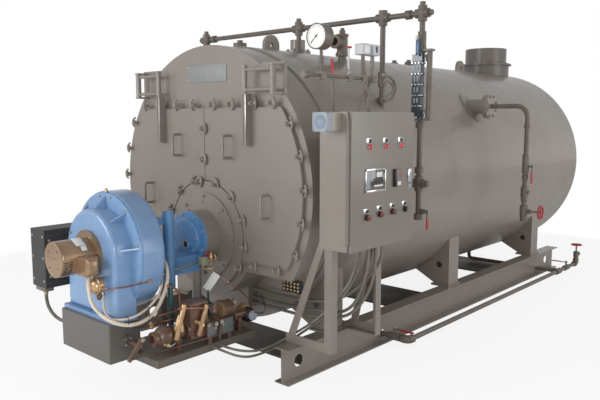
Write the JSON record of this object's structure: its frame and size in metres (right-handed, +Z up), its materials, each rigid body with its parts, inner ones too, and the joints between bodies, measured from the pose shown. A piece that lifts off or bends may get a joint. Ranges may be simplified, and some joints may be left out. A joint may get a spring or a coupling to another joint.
{
  "type": "packaged fire-tube industrial boiler",
  "caption": "Horizontal fire-tube boiler on a steel skid, with a forced-draught gas burner, davit-hung smoke box doors, control panel, water column and pipework.",
  "frame": {"origin": "on the floor, midway between the skid beams, straight below the front face of the smoke box", "axes": "+Z up from the floor, +Y to the rear along the shell, +X to the side of the control panel"},
  "size_m": [2.3263, 4.974, 2.155],
  "materials": {
    "body_paint": "semi-gloss warm taupe-grey enamel over rolled plate",
    "fan_blue": "glossy mid blue enamel on cast housings",
    "motor_bronze": "dark bronze-brown enamel, lightly pebbled",
    "control_grey": "dark grey powder coat, fine texture",
    "galvanised": "dull zinc coating, light spangle",
    "lever_red": "glossy red dipped sleeve",
    "lever_blue": "glossy blue dipped sleeve",
    "gauge_white": "white dial behind glass in a grey case",
    "glass_steel": "dark teal enamel with bright clamps",
    "switch_grey": "light grey enamel",
    "conduit_grey": "ribbed beige-grey flexible conduit",
    "valve_brown": "dark brown enamel on cast iron"
  },
  "bodies": {
    "boiler": {"air_inlet_box": "body_paint", "alarm_horn": "body_paint", "blast_tube": "fan_blue", "blowdown_pipe": "body_paint", "boiler_shell": "body_paint", "burner_control_box": "control_grey", "burner_head": "fan_blue", "burner_hinge": "fan_blue", "burner_motor": "motor_bronze", "burner_mounting_plate": "body_paint", "cross_plates": "body_paint", "davit_hinges": "body_paint", "fan_cover": "fan_blue", "fan_drum": "fan_blue", "fan_outlet_box": "fan_blue", "feed_nozzle": "body_paint", "feed_pipe": "galvanised", "front_plate": "body_paint", "furnace_drum": "body_paint", "gas_actuator": "valve_brown", "gas_riser": "body_paint", "gas_shelf": "body_paint", "gas_train": "valve_brown", "gauge_glass": "glass_steel", "gauge_manifold": "body_paint", "left_column": "body_paint", "lifting_lugs": "body_paint", "motor_conduit": "conduit_grey", "motor_terminal_box": "motor_bronze", "panel_box": "body_paint", "panel_conduits": "conduit_grey", "panel_stand": "body_paint", "pressure_gauge": "gauge_white", "pressure_switches": "switch_grey", "saddles": "body_paint", "safety_valve": "body_paint", "shell_heads": "body_paint", "shell_plugs": "body_paint", "skid_beam_left": "body_paint", "skid_beam_right": "body_paint", "smokebox_wrap": "body_paint", "stack_collar": "body_paint", "stand_conduit_front": "conduit_grey", "stand_conduit_rear": "conduit_grey", "steam_header": "body_paint", "steam_nozzle": "body_paint", "switch_conduit": "conduit_grey", "water_column_pipe": "body_paint"},
    "right_davit": {"right_davit": "body_paint"},
    "right_door": {"right_door": "body_paint"},
    "left_davit": {"left_davit": "body_paint"},
    "left_door": {"left_door": "body_paint"},
    "panel_door": {"panel_door": "body_paint"},
    "column_valve_lever": {"column_valve_lever": "lever_blue"},
    "column_drain_lever": {"column_drain_lever": "lever_blue"},
    "feed_valve_lever": {"feed_valve_lever": "lever_red"},
    "feed_handwheel": {"feed_handwheel": "lever_red"},
    "front_drain_lever": {"front_drain_lever": "lever_red"},
    "rear_drain_lever": {"rear_drain_lever": "lever_red"},
    "blowdown_handwheel": {"blowdown_handwheel": "lever_red"}
  },
  "joints": [
    {"name": "right_davit_swing", "type": "hinge", "parent": "boiler", "child": "right_davit", "pos_m": [0.62, -0.062, 1.677], "axis": [0, 0, 1], "range_deg": [0, 90]},
    {"name": "right_door_swivel", "type": "hinge", "parent": "right_davit", "child": "right_door", "pos_m": [0.4, -0.062, 1.677], "axis": [0, 0, 1], "range_deg": [-90, 0]},
    {"name": "left_davit_swing", "type": "hinge", "parent": "boiler", "child": "left_davit", "pos_m": [-0.62, -0.062, 1.677], "axis": [0, 0, -1], "range_deg": [0, 90]},
    {"name": "left_door_swivel", "type": "hinge", "parent": "left_davit", "child": "left_door", "pos_m": [-0.4, -0.062, 1.677], "axis": [0, 0, -1], "range_deg": [-90, 0]},
    {"name": "panel_door_hinge", "type": "hinge", "parent": "boiler", "child": "panel_door", "pos_m": [1.137, -0.077, 1.148], "axis": [0, 0, -1], "range_deg": [0, 110]},
    {"name": "column_valve_turn", "type": "hinge", "parent": "boiler", "child": "column_valve_lever", "pos_m": [0.985, 0.7857, 1.935], "axis": [0, -1, 0], "range_deg": [0, 90]},
    {"name": "column_drain_turn", "type": "hinge", "parent": "boiler", "child": "column_drain_lever", "pos_m": [1.0453, 0.83, 0.902], "axis": [1, 0, 0], "range_deg": [0, 90]},
    {"name": "feed_valve_turn", "type": "hinge", "parent": "boiler", "child": "feed_valve_lever", "pos_m": [1.1863, 2.03, 1.12], "axis": [1, 0, 0], "range_deg": [0, 90]},
    {"name": "feed_handwheel_turn", "type": "hinge", "parent": "boiler", "child": "feed_handwheel", "pos_m": [1.2673, 2.03, 0.79], "axis": [1, 0, 0], "continuous": true},
    {"name": "front_drain_turn", "type": "hinge", "parent": "boiler", "child": "front_drain_lever", "pos_m": [0.8, 0.88, 0.0983], "axis": [0, 0, 1], "range_deg": [0, 90]},
    {"name": "rear_drain_turn", "type": "hinge", "parent": "boiler", "child": "rear_drain_lever", "pos_m": [0.905, 3.64, 0.0983], "axis": [0, 0, 1], "range_deg": [0, 90]},
    {"name": "blowdown_handwheel_turn", "type": "hinge", "parent": "boiler", "child": "blowdown_handwheel", "pos_m": [0.905, 3.9, 0.2353], "axis": [0, 0, 1], "continuous": true}
  ],
  "couplings": [
    {"joint": "right_door_swivel", "follows": "right_davit_swing", "ratio": -1},
    {"joint": "left_door_swivel", "follows": "left_davit_swing", "ratio": -1}
  ]
}
